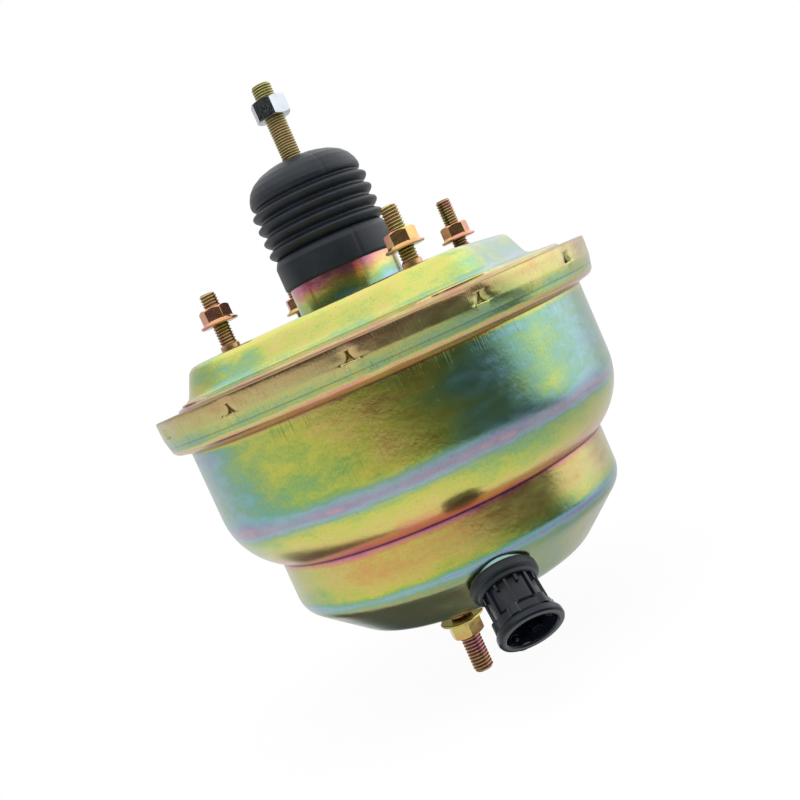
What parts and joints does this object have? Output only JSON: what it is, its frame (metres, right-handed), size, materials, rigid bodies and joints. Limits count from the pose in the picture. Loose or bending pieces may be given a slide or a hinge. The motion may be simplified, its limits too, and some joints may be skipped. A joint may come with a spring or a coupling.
{
  "type": "brake booster",
  "caption": "Round vacuum brake booster with a stepped plated shell, a locking band, mounting studs, a rubber boot over a threaded pedal rod and a plugged vacuum port.",
  "frame": {"origin": "centre of the square of firewall studs, on the firewall face", "axes": "+Z out of the firewall face along the pedal rod, the master cylinder studs on a line along Y"},
  "size_m": [0.2222, 0.2222, 0.2911],
  "materials": {
    "zinc_sheet": "yellow chromate over zinc, iridescent from lime to pink",
    "zinc_fastener": "yellow chromate over zinc, pink and gold",
    "zinc_rod": "yellow chromate over zinc, olive gold",
    "bright_steel": "bright zinc plate",
    "pressed_steel": "plain pressed steel",
    "spring_steel": "oiled spring steel",
    "boot_rubber": "matt moulded rubber",
    "black_rubber": "satin moulded rubber",
    "black_plastic": "gloss moulded plastic",
    "piston_plastic": "natural phenolic moulding",
    "filter_felt": "open felt"
  },
  "bodies": {
    "housing": {"front_shell": "zinc_sheet", "rear_shell": "zinc_sheet", "front_reinforcement_plate": "pressed_steel", "rear_reinforcement_plate": "pressed_steel", "firewall_studs": "zinc_fastener", "firewall_stud_nuts": "zinc_fastener", "master_studs": "zinc_fastener", "master_stud_nuts": "zinc_fastener", "centre_divider": "pressed_steel", "divider_seal": "black_rubber", "neck_guide": "piston_plastic", "neck_seal": "black_rubber", "neck_seal_washer": "pressed_steel", "output_rod_seal": "black_rubber", "output_seal_cup": "pressed_steel", "valve_grommet": "black_rubber", "port_plug": "black_plastic", "boot": "boot_rubber", "return_spring": "spring_steel", "front_diaphragm": "black_rubber", "rear_diaphragm": "black_rubber"},
    "power_piston": {"power_piston": "piston_plastic", "front_diaphragm_plate": "pressed_steel", "rear_diaphragm_plate": "pressed_steel", "front_diaphragm_nut": "pressed_steel", "rear_diaphragm_clip": "pressed_steel", "reaction_disc": "black_rubber", "output_rod": "bright_steel", "output_rod_clip": "bright_steel", "output_rod_screw": "bright_steel", "stop_key": "pressed_steel", "poppet_valve": "black_rubber", "poppet_spring": "spring_steel", "poppet_retainer": "pressed_steel", "rod_return_spring": "spring_steel", "air_filter": "filter_felt", "filter_cap": "piston_plastic"},
    "valve_plunger": {"valve_plunger": "bright_steel"},
    "pedal_rod": {"pedal_rod": "zinc_rod", "rod_spring_washer": "pressed_steel", "rod_nut": "bright_steel"}
  },
  "joints": [
    {"name": "power_piston_slide", "type": "slide", "parent": "housing", "child": "power_piston", "axis": [0, 0, -1], "range_m": [0, 0.028], "stiffness_N_per_m": 2500, "springref_m": -0.05, "deforming": ["return_spring", "boot", "front_diaphragm", "rear_diaphragm"]},
    {"name": "valve_plunger_slide", "type": "slide", "parent": "power_piston", "child": "valve_plunger", "axis": [0, 0, -1], "range_m": [0, 0.002], "stiffness_N_per_m": 4000, "springref_m": -0.005, "deforming": ["poppet_valve", "poppet_spring", "rod_return_spring"]},
    {"name": "pedal_rod_swivel", "type": "hinge", "parent": "valve_plunger", "child": "pedal_rod", "pos_m": [0, 0, -0.001], "axis": [0, 1, 0], "range_deg": [-2, 2], "stiffness_Nm_per_rad": 0.5}
  ]
}
